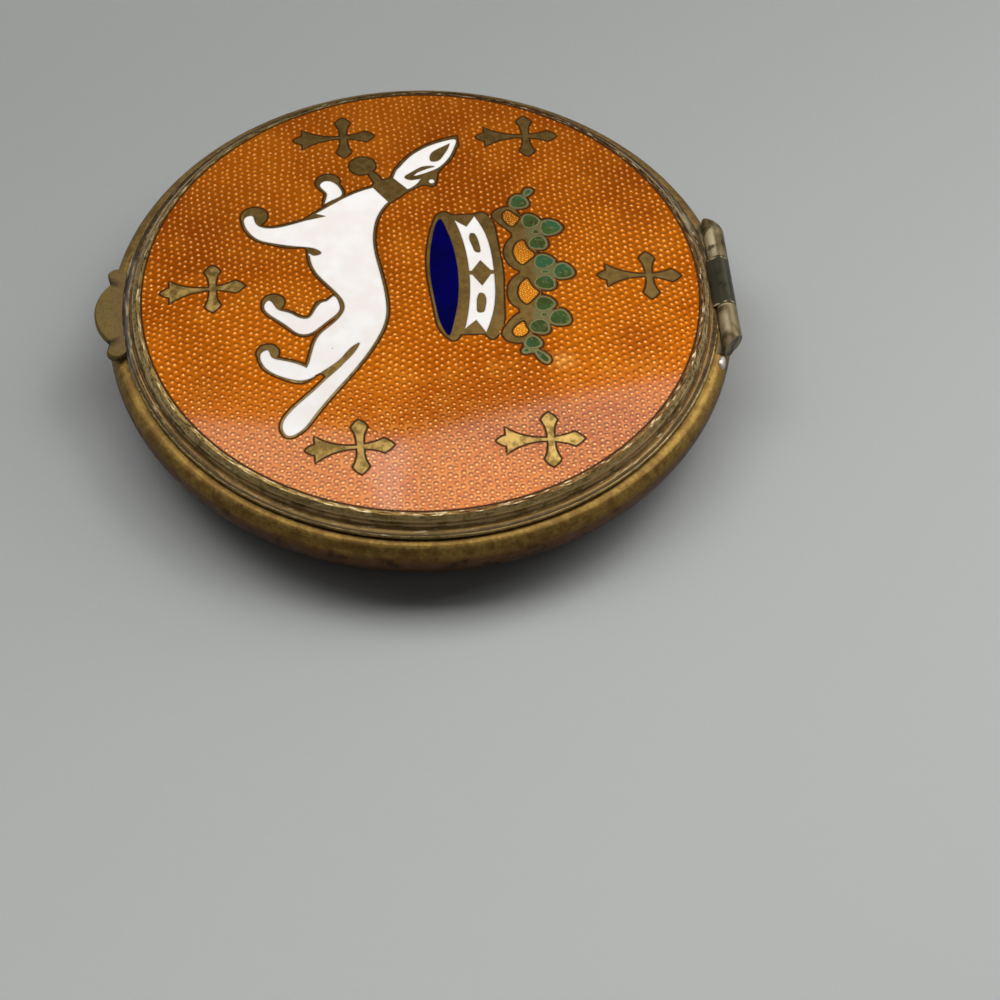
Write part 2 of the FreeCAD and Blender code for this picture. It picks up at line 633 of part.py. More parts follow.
def base_knuckle(side):
    """An end knuckle on its saddle, bevelled where the barrel runs out over the rim."""
    inner_end = knuckle_half_length + knuckle_end_gap
    length = barrel_half_length - inner_end
    start = inner_end if side > 0 else -barrel_half_length
    saddle = block(start, start + length, 0, hinge_axis_radius, base_height - saddle_depth, base_height)
    knuckle = barrel(barrel_radius, start, start + length).fuse(saddle.cut(base_outside()))
    outer_end = side * barrel_half_length
    bevel_start = side * (barrel_half_length - bevel_run)
    clear_end = side * (barrel_half_length + overrun)
    corner = hinge_axis_radius + barrel_radius
    outline = [(outer_end, corner - bevel_reach), (bevel_start, corner), (bevel_start, corner + overrun),
               (clear_end, corner + overrun), (clear_end, corner - bevel_reach),
               (outer_end, corner - bevel_reach)]
    bevel = Part.Face(Part.makePolygon([V(x, y, 0) for x, y in outline])).extrude(V(0, 0, 2 * ring_top))
    bore_end = pin_half_length + pin_clearance
    bore = barrel(pin_radius + pin_clearance, -bore_end, bore_end)
    return knuckle.cut([bevel, bore]).removeSplitter()


def powder_pan():
    """A pressed dish that stands on the base's floor, its rim turned out to the collar."""
    profile = Profile(0, pan_bottom)
    profile.line(pan_floor_radius, pan_bottom)
    profile.quarter((pan_radius, pan_bottom), (pan_radius, pan_top - pan_wall))
    profile.line(pan_rim_radius, pan_top - pan_wall).line(pan_rim_radius, pan_top)
    profile.line(pan_radius - pan_wall, pan_top)
    profile.quarter((pan_radius - pan_wall, pan_bottom + pan_wall), (pan_floor_radius, pan_bottom + pan_wall))
    profile.line(0, pan_bottom + pan_wall)
    return profile.turned()


def pan_clip_ring():
    """A split ring sprung into the collar's groove over the pan's rim."""
    outer = collar_inner_radius + clip_groove_depth - seat_clearance
    ring = tube(outer, outer - clip_ring_width, pan_top, clip_ring_height)
    return ring.cut(block(-clip_ring_gap / 2, clip_ring_gap / 2, 0, base_radius, 0, ring_top))


def build():
    plaque, fills = enamelled_plaque()
    ring = lid_ring()
    parts = dict(fills)
    parts["enamel_plaque"] = plaque
    parts["lid_ring"] = ring
    parts["mirror_backing_card"] = Part.makeCylinder(mirror_radius, card_thickness, V(0, 0, card_bottom))
    parts["lid_mirror"] = Part.makeCylinder(mirror_radius, mirror_thickness, V(0, 0, mirror_bottom))
    parts["mirror_retaining_ring"] = mirror_ring()
    parts["thumb_piece"] = thumb_piece()
    parts["catch_bead"] = catch_bead()
    parts["lid_hinge_knuckle"] = lid_knuckle(ring)
    parts["base_bowl"] = base_bowl()
    parts["base_collar"] = base_collar()
    parts["base_hinge_knuckle_right"] = base_knuckle(1)
    parts["base_hinge_knuckle_left"] = base_knuckle(-1)
    parts["hinge_pin"] = barrel(pin_radius, -pin_half_length, pin_half_length)
    parts["catch_spring"] = catch_spring()
    parts["powder_pan"] = powder_pan()
    parts["pan_clip_ring"] = pan_clip_ring()
    return parts


os.makedirs("parts", exist_ok=True)
for node, shape in build().items():
    shape.exportStep("parts/" + node + ".step")
    print(node, len(shape.Solids), round(shape.Volume, 2), shape.isValid())
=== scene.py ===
import json
import math

import bmesh
import bpy
import numpy as np
from mathutils import Matrix, Vector


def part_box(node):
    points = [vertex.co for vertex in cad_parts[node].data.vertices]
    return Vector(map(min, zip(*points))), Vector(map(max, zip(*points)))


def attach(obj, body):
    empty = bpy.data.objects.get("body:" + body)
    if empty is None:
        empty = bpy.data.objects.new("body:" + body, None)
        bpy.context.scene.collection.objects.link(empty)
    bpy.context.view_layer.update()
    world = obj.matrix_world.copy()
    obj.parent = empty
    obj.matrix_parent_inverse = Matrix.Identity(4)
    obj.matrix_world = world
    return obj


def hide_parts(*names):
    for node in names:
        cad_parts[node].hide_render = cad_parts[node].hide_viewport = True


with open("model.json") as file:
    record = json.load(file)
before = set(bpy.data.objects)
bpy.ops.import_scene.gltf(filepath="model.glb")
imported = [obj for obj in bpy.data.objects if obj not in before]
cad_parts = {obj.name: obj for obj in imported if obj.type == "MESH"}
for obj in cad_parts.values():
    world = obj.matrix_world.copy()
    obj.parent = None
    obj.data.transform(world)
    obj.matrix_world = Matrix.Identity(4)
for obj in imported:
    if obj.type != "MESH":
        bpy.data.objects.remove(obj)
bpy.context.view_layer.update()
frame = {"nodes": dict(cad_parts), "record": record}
mm = 0.001
nodes = frame["nodes"]
bodies = frame["record"]["behaviour"]["bodies"]
bodyOf = {node: body for body, members in bodies.items() for node in members}
slotOf = {entry["node"]: entry["material_slot"] for entry in frame["record"]["subparts"]}
print("frame loaded:", len(nodes), "nodes")


# Shader maths: a Wire is a socket that can stand in a sum, and a Finish is one material. In the settings,
# a noise is its scale and detail, specks are scale, size and share, and an edge is where it starts and ends.
class Wire:
    def __init__(self, finish, socket):
        self.finish = finish
        self.socket = socket

    def math(self, operation, first, second=0.0):
        return self.finish.add("ShaderNodeMath", {"operation": operation}, {0: first, 1: second})

    def __add__(self, other):
        return self.math("ADD", self, other)

    def __sub__(self, other):
        return self.math("SUBTRACT", self, other)

    def __rsub__(self, other):
        return self.math("SUBTRACT", other, self)

    def __mul__(self, other):
        return self.math("MULTIPLY", self, other)

    def __truediv__(self, other):
        return self.math("DIVIDE", self, other)

    def __pow__(self, other):
        return self.math("POWER", self, other)

    __radd__ = __add__
    __rmul__ = __mul__

    def whole(self):
        return self.math("FLOOR", self)

    def rest(self, other):
        return self.math("FLOORED_MODULO", self, other)

    def most(self, other):
        return self.math("MAXIMUM", self, other)

    def turn(self, other):  # the angle of a point from its two coordinates
        return self.math("ARCTAN2", self, other)

    def rise(self, low, high):  # 0 below low, 1 above high, smooth between
        links = {"Value": self, "From Min": low, "From Max": high}
        return self.finish.add("ShaderNodeMapRange", {"interpolation_type": "SMOOTHSTEP"}, links)

    def fall(self, low, high):
        return 1 - self.rise(low, high)

    def near(self, middle, width):  # 1 at the middle, 0 a width away
        gap = self - middle
        return (gap * gap).fall(0.0, width * width)


class Finish:
    def __init__(self, name, owner=None):
        self.material = owner or bpy.data.materials.new(name)
        self.material.use_nodes = True
        self.tree = self.material.node_tree
        self.tree.nodes.clear()
        place = self.add("ShaderNodeTexCoord", out="Object")
        self.at = self.add("ShaderNodeVectorMath", {"operation": "SCALE"}, {0: place, "Scale": 1 / mm})
        self.x, self.y, self.z = self.parts(self.at)
        self.radius = (self.x * self.x + self.y * self.y) ** 0.5

    def add(self, kind, settings=None, links=None, out=0):
        node = self.tree.nodes.new(kind)
        for key, value in (settings or {}).items():
            setattr(node, key, value)
        for key, value in (links or {}).items():
            if isinstance(value, Wire):
                self.tree.links.new(value.socket, node.inputs[key])
            else:
                node.inputs[key].default_value = value
        return Wire(self, node.outputs[out]) if len(node.outputs) else None

    def parts(self, vector):
        node = self.add("ShaderNodeSeparateXYZ", None, {0: vector}).socket.node
        return [Wire(self, socket) for socket in node.outputs]

    def join(self, x, y, z=0.0):
        return self.add("ShaderNodeCombineXYZ", None, {0: x, 1: y, 2: z})

    def away(self, x, y):  # distance from a spot, seen from above
        return ((self.x - x) ** 2 + (self.y - y) ** 2) ** 0.5

    def ringwise(self, across, along):  # a place for marks that are drawn out round the turned pieces
        return self.join(self.radius * across, self.z * across, self.y.turn(self.x) * along)

    def noise(self, scale, detail, where=None, out=0):
        links = {"Vector": where or self.at, "Scale": scale, "Detail": detail}
        return self.add("ShaderNodeTexNoise", None, links, out)

    def specks(self, scale, size, share, soft=0.7, blur=0.02):  # round specks in a share of scattered cells
        cells = self.add("ShaderNodeTexVoronoi", None, {"Vector": self.at, "Scale": scale}).socket.node
        chance = self.parts(Wire(self, cells.outputs["Color"]))[0]
        away = Wire(self, cells.outputs["Distance"])
        return away.fall(size * scale * soft, size * scale) * chance.fall(share, share + blur)

    def mix(self, share, first, second):
        links = {0: share, 6: paint(first), 7: paint(second)}
        return self.add("ShaderNodeMix", {"data_type": "RGBA"}, links, 2)

    def bump(self, height, depth, strength=1.0):
        return self.add("ShaderNodeBump", None, {"Strength": strength, "Distance": depth, "Height": height})

    def stored(self, name):
        return self.add("ShaderNodeAttribute", {"attribute_name": name}, None, "Fac")

    def seen(self):  # 1 for what the eye meets, straight or in a polished surface
        path = self.add("ShaderNodeLightPath").socket.node
        return Wire(self, path.outputs["Is Camera Ray"]).most(Wire(self, path.outputs["Is Glossy Ray"]))

    def shade(self, **sockets):
        links = {key.replace("_", " "): paint(value) for key, value in sockets.items()}
        surface = self.add("ShaderNodeBsdfPrincipled", None, links)
        self.add("ShaderNodeOutputMaterial", None, {"Surface": surface})
        return self.material


def paint(value):
    return (*value, 1.0) if isinstance(value, tuple) and len(value) == 3 else value


def tone(red, green, blue):  # a screen colour of 0 to 255 as the linear colour that a shader takes
    level = np.array([red, green, blue]) / 255
    curved = ((level + 0.055) / 1.055) ** 2.4
    return tuple(float(v) for v in np.where(level <= 0.04045, level / 12.92, curved))


# Enamels: the two stippled ones share a way of shading, and so do the three plain ones
# in the stippled enamels the glint tone is partly a painted highlight, the ring and web tones are painted
# shade and painted reflection, the outline tone is painted shade, and the last x range says where ring and
# web show
orangeEnamel = dict(
    pitch=0.64, rowPitch=0.56, jitter=0.36, wander=1.3, core=0.17, ring=0.22, reach=0.31, height=0.045 * mm,
    deep=tone(160, 75, 3), fresh=tone(184, 95, 8), pale=tone(196, 114, 22), glint=tone(253, 190, 106),
    sunk=tone(122, 58, 6), webSheen=tone(222, 150, 66), outline=tone(62, 32, 10), thin=(8.0, 18.0),
    ringShare=0.45, webShare=0.45, lineReach=0.85, blotch=tone(126, 52, 8), chip=tone(232, 168, 78),
    blotches=[(-13.0, 17.0, 5.5, 0.32), (9.0, -18.5, 5.0, 0.32), (7.2, 18.1, 4.0, 0.42),
              (-8.0, 19.8, 4.5, 0.4), (-9.0, -18.0, 9.0, 0.4)],
    chips=[(9.3, 11.3, 1.5, 0.4), (1.3, 15.9, 0.3, 0.9), (-17.0, -9.5, 0.25, 0.9)])
amberEnamel = dict(
    pitch=0.26, rowPitch=0.23, jitter=0.5, wander=0.5, core=0.08, ring=0.1, reach=0.13, height=0.012 * mm,
    deep=tone(168, 88, 4), fresh=tone(222, 132, 14), pale=tone(240, 170, 44), glint=tone(255, 222, 130),
    sunk=tone(150, 74, 4), webSheen=tone(232, 150, 34), outline=tone(58, 34, 12), thin=(-40.0, -30.0),
    ringShare=0.35, webShare=0.5, lineReach=0.8, blotches=[], chips=[])
stipple = dict(
    drift=(0.12, 1.0), cloud=(0.35, 2.0), cloudShift=8.0, uneven=(1.3, 2.0), unevenEdge=(0.3, 0.7),
    evenShare=0.4, depth=(0.09, 3.0), depthEdge=(0.35, 0.6), paleEdge=(0.5, 0.8), paleShare=0.4,
    faintRing=0.12, glintLeast=0.4, spotScale=2.0, spotDetail=3.0, spotEdge=(0.5, 1.5), metal=0.4, rough=0.32,
    coat=0.5, coatRough=0.07, ior=1.52)


def dots(f, s):
    # rows of punched dots, every other row half a step along, each dot a little off its place:
    # gives the distance to the dot's middle in millimetres and a random share for each dot
    drift = f.parts(f.noise(*stipple["drift"], out=1))
    along = (f.y + (drift[1] - 0.5) * s["wander"]) / s["rowPitch"]
    row = along.whole()
    across = (f.x + (drift[0] - 0.5) * s["wander"]) / s["pitch"] + row.rest(2) * 0.5
    step = across.whole()
    chance = f.parts(f.add("ShaderNodeTexWhiteNoise", None, {"Vector": f.join(step, row)}, 1))
    gapX = (across - step - 0.5 - (chance[0] - 0.5) * s["jitter"]) * s["pitch"]
    gapY = (along - row - 0.5 - (chance[1] - 0.5) * s["jitter"]) * s["rowPitch"]
    return (gapX * gapX + gapY * gapY) ** 0.5, chance[2]


def stippled(name, s):
    # clear coloured glass over punched metal: thin and bright on top of each dot, partly a painted glint,
    # deeper between
    #     # them; on the near side (all over the amber) a dark ring of painted shade and a pale web of painted
    #     reflection
    f = Finish(name)
    g = stipple
    distance, chance = dots(f, s)
    cloud = f.noise(*g["cloud"])
    # mask for the painted ring shade and web reflection, rising towards the near side
    thin = (f.x + (cloud - 0.5) * g["cloudShift"]).rise(*s["thin"])
    core = distance.fall(0.0, s["core"]) * (g["glintLeast"] + chance * (1 - g["glintLeast"]))
    uneven = f.noise(*g["uneven"]).rise(*g["unevenEdge"])
    # painted shade: a dark ring round each dot
    ring = distance.near(s["ring"], s["reach"] - s["ring"]) * (thin * s["ringShare"] + g["faintRing"])
    ring = ring * (g["evenShare"] + uneven * (1 - g["evenShare"]))
    # painted reflection: a pale web between the dots
    webSheen = distance.rise(s["ring"], s["reach"]) * thin * uneven * s["webShare"]
    colour = f.mix(f.noise(*g["depth"]).rise(*g["depthEdge"]), s["deep"], s["fresh"])
    colour = f.mix(cloud.rise(*g["paleEdge"]) * g["paleShare"], colour, s["pale"])
    inner, outer = g["spotEdge"]
    for marks, stain in (("blotches", "blotch"), ("chips", "chip")):
        for x, y, reach, strength in s[marks]:
            away = f.away(x, y) + f.noise(g["spotScale"] / reach, g["spotDetail"]) * reach
            colour = f.mix(away.fall(reach * inner, reach * outer) * strength, colour, s[stain])
    colour = f.mix(webSheen, colour, s["webSheen"])
    colour = f.mix(ring, colour, s["sunk"])
    # painted highlight: a pale glint on each dot's top, partly the thin glass over it
    colour = f.mix(core, colour, s["glint"])
    # painted shade: a dark soft edge along each cell's rim, with less gloss
    line = f.stored("shade").rise(0.0, s["lineReach"])
    colour = f.mix(line, colour, s["outline"])
    ground = f.bump(distance.fall(0.0, s["reach"]), s["height"])
    return f.shade(Base_Color=colour, Metallic=g["metal"] * (1 - line), Roughness=g["rough"], Normal=ground,
                   Specular_IOR_Level=0.0, Coat_Weight=g["coat"] * (1 - line), Coat_Roughness=g["coatRough"],
                   Coat_IOR=g["ior"])


glaze = dict(
    cloud=(0.5, 3.0), cloudEdge=(0.35, 0.7), rough=0.4, waves=(1.6, 2.0), waveDepth=0.01 * mm, waveShare=0.35,
    coat=0.5, coatRough=0.08, ior=1.52)
whiteEnamel = dict(
    clean=tone(252, 249, 246), warm=tone(248, 241, 235), pit=tone(120, 112, 100), edge=tone(196, 186, 172),
    warmth=(0.22, 2.0), warmEdge=(0.55, 0.75), warmShare=0.5, pits=(0.9, 0.07, 0.3), pitShare=0.8,
    edgeReach=(0.3, 1.0), edgeShare=0.7)
blueEnamel = dict(
    deep=tone(1, 1, 64), glow=tone(2, 2, 80), speck=tone(150, 160, 220), specks=(0.5, 0.06, 0.25),
    speckShare=0.8)
greenEnamel = dict(
    deep=tone(58, 66, 30), fresh=tone(64, 90, 46), cool=tone(54, 94, 62), edge=tone(148, 138, 96),
    coolness=(0.3, 1.0), coolEdge=(0.45, 0.6), rub=(3.0, 3.0), rubEdge=(0.5, 0.75), rubShare=0.4,
    edgeReach=(0.1, 1.0), edgeShare=0.9)


def glazed(name, low, high, detail):
    # plain glass over a ground: two tones in clouds, and then the colour's own marks
    f = Finish(name)
    g = glaze
    colour = detail(f, f.mix(f.noise(*g["cloud"]).rise(*g["cloudEdge"]), low, high))
    waves = f.bump(f.noise(*g["waves"]), g["waveDepth"], g["waveShare"])
    return f.shade(Base_Color=colour, Roughness=g["rough"], Normal=waves, Specular_IOR_Level=0.0,
                   Coat_Weight=g["coat"], Coat_Roughness=g["coatRough"], Coat_IOR=g["ior"])


def whitePits(f, colour):
    s = whiteEnamel
    colour = f.mix(f.noise(*s["warmth"]).rise(*s["warmEdge"]) * s["warmShare"], colour, s["warm"])
    colour = f.mix(f.specks(*s["pits"]) * s["pitShare"], colour, s["pit"])
    # painted shade: grey along the cell's rim
    return f.mix(f.stored("shade").rise(*s["edgeReach"]) * s["edgeShare"], colour, s["edge"])


def blueSpecks(f, colour):
    s = blueEnamel
    return f.mix(f.specks(*s["specks"]) * s["speckShare"], colour, s["speck"])


def greenEdges(f, colour):
    s = greenEnamel
    colour = f.mix(f.noise(*s["coolness"]).rise(*s["coolEdge"]), colour, s["cool"])
    colour = f.mix(f.noise(*s["rub"]).rise(*s["rubEdge"]) * s["rubShare"], colour, s["edge"])
    return f.mix(f.stored("shade").rise(*s["edgeReach"]) * s["edgeShare"], colour, s["edge"])


# Brass: mottled and pitted, bright where edges are worn and dark in hollows
plaqueBrass = dict(
    dark=tone(112, 90, 42), mid=tone(186, 152, 86), bright=tone(242, 220, 150), mottle=0.35, lines=0.0,
    grainScale=2.0, patchScale=0.9, metal=0.8, rough=0.42, relief=0.25, pits=0.25, wear=1.0)
rimBrass = dict(
    dark=tone(66, 48, 22), mid=tone(148, 114, 60), bright=tone(206, 184, 130), mottle=0.5, lines=1.2,
    grainScale=3.0, patchScale=0.25, metal=0.6, rough=0.4, relief=0.5, pits=0.35, wear=0.55)
bowlBrass = dict(
    dark=tone(104, 80, 40), mid=tone(150, 120, 58), bright=tone(178, 148, 80), mottle=0.7, lines=0.55,
    grainScale=3.0, patchScale=0.16, metal=0.8, rough=0.46, relief=0.5, pits=0.4, wear=0.8)
hingeBrass = dict(
    dark=tone(52, 43, 25), mid=tone(88, 74, 45), bright=tone(150, 134, 98), mottle=1.5, lines=0.0,
    grainScale=1.0, patchScale=0.5, metal=0.55, rough=0.36, relief=0.4, pits=0.1, wear=0.6)
thumbBrass = dict(
    dark=tone(90, 73, 37), mid=tone(106, 87, 45), bright=tone(128, 106, 58), mottle=1.3, lines=0.0,
    grainScale=4.0, patchScale=0.35, metal=0.6, rough=0.55, relief=0.12, pits=0.05, wear=0.4)
innerBrass = dict(
    dark=tone(150, 118, 60), mid=tone(196, 160, 88), bright=tone(228, 196, 122), mottle=0.8, lines=0.5,
    grainScale=1.4, patchScale=0.2, metal=1.0, rough=0.32, relief=0.4, pits=0.2, wear=1.0)
panBrass = dict(
    dark=tone(164, 132, 72), mid=tone(206, 172, 102), bright=tone(234, 206, 136), mottle=0.8, lines=0.4,
    grainScale=0.8, patchScale=0.12, metal=1.0, rough=0.34, relief=0.4, pits=0.1, wear=0.6)
springSteel = dict(
    dark=tone(120, 118, 114), mid=tone(168, 168, 166), bright=tone(206, 207, 207), mottle=0.8, lines=0.4,
    grainScale=2.0, patchScale=0.3, metal=1.0, rough=0.3, relief=0.4, pits=0.1, wear=0.6)
solder = dict(
    dark=tone(176, 170, 160), mid=tone(222, 218, 210), bright=tone(246, 244, 240), mottle=0.5, lines=0.0,
    grainScale=2.6, patchScale=0.8, metal=0.5, rough=0.3, relief=0.4, pits=0.1, wear=0.6)
# tones for stains, soot and wear, some of them also used for painted light and painted shade
stainAndLightTones = dict(
    sootAndShade=tone(34, 22, 10), outline=tone(54, 34, 14), brown=tone(94, 63, 30), paintedLightTan=tone(146, 120, 68),
    gilt=tone(184, 138, 82), umber=tone(84, 48, 22), plum=tone(106, 82, 70), silver=tone(204, 188, 148),
    steel=tone(52, 51, 40), lead=tone(104, 106, 102), creamAndGlint=tone(222, 206, 166), olive=tone(98, 76, 36),
    moss=tone(108, 102, 66), sleeve=innerBrass["mid"], foot=bowlBrass["mid"])
aging = dict(
    lineNoise=(1.0, 3.0), lineAcross=9, lineAlong=1.5, detail=4.0, pitScale=1.1, pitSize=0.09, darkReach=0.3,
    midReach=0.25, wornGrain=(0.3, 0.6), highEdge=(0.6, 0.85), highShare=0.6, seamEdge=(0.05, 0.55),
    seamShare=0.9, grimeEdge=(0.0, 0.9), grimeShare=0.85, pitShare=0.75, grainRough=0.3, grimeRough=0.2,
    wornRough=0.08, grainRelief=0.5, pitRelief=1.5, dulled=0.7, specular=0.2, depth=0.03 * mm)
streaks = dict(across=3, along=13)


def agedMetal(name, s, marks=None):
    # tones by a mean of patches and grain, with fine lines round the turned pieces, and over them the
    #     # piece's own marks, each a mask, its strength and a tone (a stain, or painted light or shade), then
    #     grime, seams and pits
    f = Finish(name)
    g = aging
    drawn = f.noise(*g["lineNoise"], f.ringwise(g["lineAcross"], g["lineAlong"]))
    patch = f.noise(s["patchScale"], g["detail"])
    grain = f.noise(s["grainScale"], g["detail"])
    pit = f.specks(g["pitScale"], g["pitSize"], s["pits"])
    worn = f.stored("worn") * s["wear"]
    grime = f.stored("grime")
    seam = f.stored("line").rise(*g["seamEdge"])
    lift = patch * 0.5 + grain * 0.5 + (drawn - 0.5) * s["lines"]
    body = lift.rise(0.5 - s["mottle"] * g["darkReach"], 0.5 + s["mottle"] * g["midReach"])
    rubbed = (worn * grain.rise(*g["wornGrain"])).most(lift.rise(*g["highEdge"]) * g["highShare"])
    colour = f.mix(rubbed, f.mix(body, s["dark"], s["mid"]), s["bright"])
    for mask, strength, stain in (marks(f, grain) if marks else []):
        colour = f.mix(mask * strength, colour, stainAndLightTones[stain])
    colour = f.mix(grime.rise(*g["grimeEdge"]) * g["grimeShare"], colour, stainAndLightTones["sootAndShade"])
    colour = f.mix(seam * g["seamShare"], colour, stainAndLightTones["outline"])
    colour = f.mix(pit * g["pitShare"], colour, stainAndLightTones["sootAndShade"])
    rough = s["rough"] + (grain - 0.5) * g["grainRough"] + grime * g["grimeRough"] - worn * g["wornRough"]
    relief = grain * g["grainRelief"] + drawn * s["lines"] - pit * g["pitRelief"]
    return f.shade(Base_Color=colour, Metallic=s["metal"] * (1 - grime.most(seam) * g["dulled"]),
                   Roughness=rough, Specular_IOR_Level=g["specular"],
                   Normal=f.bump(relief, g["depth"], s["relief"]))


plaqueStains = dict(
    ragged=4, patinaShadeX=(9.0, 16.0), bareY=(-17.5, -14.0), bareShare=0.75, dullY=(-6.0, 2.0), dullX=(8.0, 12.0),
    dullShare=0.5, leafEdge=0.4, border=(24.0, 24.05), litBorderY=(-14.0, 6.0), flake=(2.6, 4.0),
    creamEdge=(0.56, 0.66), sootEdge=(0.36, 0.46),
    leaves=[(-9.5, 9.4, 0.9), (-5.5, 10.85, 1.3), (-0.63, 11.3, 1.35), (4.3, 10.7, 1.3), (8.0, 9.1, 1.0)])


def plaqueMarks(f, grain):
    # olive on all but the figures at one side, partly patina and partly painted shade on the far side, mossy
    #     # between the leaves, and a border with cream flakes and soot, paler and golden on one side with
    #     painted light
    s = plaqueStains
    ragged = grain * s["ragged"]
    # partly patina, partly painted shade: olive away from the near side
    patinaAndShade = (f.x + ragged).fall(*s["patinaShadeX"]) * (1 - f.y.fall(*s["bareY"]) * s["bareShare"])
    dull = (f.y + ragged).fall(*s["dullY"]) * f.x.rise(*s["dullX"]) * s["dullShare"]
    moss = 0.0
    for x, y, reach in s["leaves"]:
        moss = f.away(x, y).fall(reach, reach + s["leafEdge"]) + moss
    border = f.radius.rise(*s["border"])
    flake = f.noise(*s["flake"], f.ringwise(**streaks))
    return [(patinaAndShade.most(dull), 0.85, "olive"),
            (moss, 0.8, "moss"),
            (border, 0.85, "brown"),
            # painted light: the border paler and golden on one side
            (border * f.y.fall(*s["litBorderY"]), 0.8, "paintedLightTan"),
            (border * flake.rise(*s["creamEdge"]), 0.65, "creamAndGlint"),
            (border * flake.fall(*s["sootEdge"]), 0.9, "sootAndShade")]


rimStains = dict(
    lip=(24.78, 0.08), rub=(0.6, 3.0), rubEdge=(0.42, 0.6), coveIn=(24.86, 24.95), coveOut=(25.1, 25.26),
    flange=(25.1, 25.3), streak=(1.2, 3.0), sootStreak=(0.36, 0.5), scratch=(1.6, 4.0),
    scratchEdge=(0.6, 0.7), pits=(0.28, 0.2, 0.3), nearLightX=(8.0, 22.0), giltX=(2.0, 16.0), hingeY=(21.0, 24.0),
    hingeX=(-7.5, -5.5), hingeStreak=(0.4, 0.6), thumbY=(-25.0, -24.2), thumbStreak=(0.5, 0.62),
    sleeveZ=(6.7, 6.8))


def rimMarks(f, grain):
    # the near side is paler with painted light, the lip's outer edge is rubbed to silver, or to gold on one
    # side,
    #     # partly wear and partly a painted highlight, the cove below it is brown, the flange has deep round
    #     pits, and old solder shows in streaks by hinge and thumb piece
    s = rimStains
    rubbed = f.radius.near(*s["lip"]) * f.noise(*s["rub"]).rise(*s["rubEdge"])
    cove = f.radius.rise(*s["coveIn"]) * f.radius.fall(*s["coveOut"])
    streak = f.noise(*s["streak"], f.ringwise(**streaks))
    scratch = f.noise(*s["scratch"], f.ringwise(**streaks)).rise(*s["scratchEdge"])
    byHinge = f.y.rise(*s["hingeY"]) * f.x.fall(*s["hingeX"]) * streak.rise(*s["hingeStreak"])
    byThumb = f.y.fall(*s["thumbY"]) * f.radius.rise(*s["flange"])
    # painted light: the near side paler
    return [(f.x.rise(*s["nearLightX"]), 0.5, "paintedLightTan"),
            (cove, 0.5, "brown"),
            (f.specks(*s["pits"]), 1.0, "sootAndShade"),
            (streak.fall(*s["sootStreak"]), 0.4, "sootAndShade"),
            (scratch, 0.6, "silver"),
            # partly rubbed wear, partly a painted highlight along the lip's edge
            (rubbed, 0.75, "silver"),
            (rubbed * f.x.rise(*s["giltX"]), 0.75, "gilt"),
            (byThumb, 0.8, "lead"),
            (byThumb * streak.rise(*s["thumbStreak"]), 0.8, "silver"),
            (byHinge, 0.5, "silver"),
            (f.z.fall(*s["sleeveZ"]), 1.0, "sleeve")]


bowlStains = dict(
    sideZ=(5.2, 6.25), cloud=(0.8, 4.0), plumCloud=(0.5, 0.68), brownCloud=(0.4, 0.56),
    sootCloud=(0.34, 0.46), speckle=(6.0, 2.0), speckleEdge=(0.52, 0.68), paintedShadeZ=(0.5, 4.6), footZ=(0.05, 1.2),
    patch=(0.18, 4.0), patchEdge=(0.35, 0.6), patchShare=0.6, rings=(1.0, 3.0), ringEdge=(0.4, 0.65),
    ringShare=0.4, pits=(0.3, 0.2, 0.3), grit=(0.7, 0.08, 0.3))


def bowlMarks(f, grain):
    # matte olive on the shoulder, brown with plum clouds on the side, painted shade darker towards the
    # bottom, fine
    #     # speckle, a few deep round pits, and a foot that is rubbed in patches and in fine rings
    s = bowlStains
    side = f.z.fall(*s["sideZ"])
    cloud = f.noise(*s["cloud"])
    patch = f.noise(*s["patch"]).rise(*s["patchEdge"]) * s["patchShare"]
    rings = f.noise(*s["rings"], f.ringwise(**streaks)).rise(*s["ringEdge"]) * s["ringShare"]
    return [(side, 0.85, "umber"),
            (side * cloud.rise(*s["plumCloud"]), 0.5, "plum"),
            (f.noise(*s["speckle"]).rise(*s["speckleEdge"]), 0.45, "brown"),
            (cloud.fall(*s["brownCloud"]), 0.5, "brown"),
            (side * cloud.fall(*s["sootCloud"]), 0.7, "sootAndShade"),
            # painted shade: darker towards the bottom of the bowl
            (f.z.fall(*s["paintedShadeZ"]), 0.6, "sootAndShade"),
            (f.z.fall(*s["footZ"]) * (patch + rings), 0.85, "foot"),
            (f.specks(*s["pits"]), 1.0, "sootAndShade"),
            (side * f.specks(*s["grit"]), 0.8, "creamAndGlint")]


hingeStains = dict(
    middle=(2.6, 2.85), end=2.72, endReach=0.3, ragged=(1.6, 4.0), raggedEdge=(0.45, 0.6),
    solderGlintY=(25.95, 26.25), solderGlintLeft=(-4.6, 2.2), solderGlintRight=(4.8, 1.6), rightShare=0.6, solderGlint=(0.9, 3.0),
    solderGlintEdge=(0.35, 0.5))


def hingeMarks(f, grain):
    # the middle knuckle is dark with scraped ends, and solder shows on the lid's side of the others, partly a
    # painted highlight
    s = hingeStains
    inner, outer = s["middle"]
    middle = f.x.rise(-outer, -inner) * f.x.fall(inner, outer)
    ends = f.x.near(-s["end"], s["endReach"]) + f.x.near(s["end"], s["endReach"])
    # partly solder, partly a painted highlight on the lid's side of the knuckles
    solderGlint = f.x.near(*s["solderGlintLeft"]) + f.x.near(*s["solderGlintRight"]) * s["rightShare"]
    solderGlint = solderGlint * f.y.fall(*s["solderGlintY"]) * f.noise(*s["solderGlint"]).rise(*s["solderGlintEdge"])
    return [(middle, 0.9, "steel"),
            (ends * f.noise(*s["ragged"]).rise(*s["raggedEdge"]), 0.7, "silver"),
            (solderGlint, 0.9, "creamAndGlint")]


thumbStains = dict(joint=(25.4, 27.4))


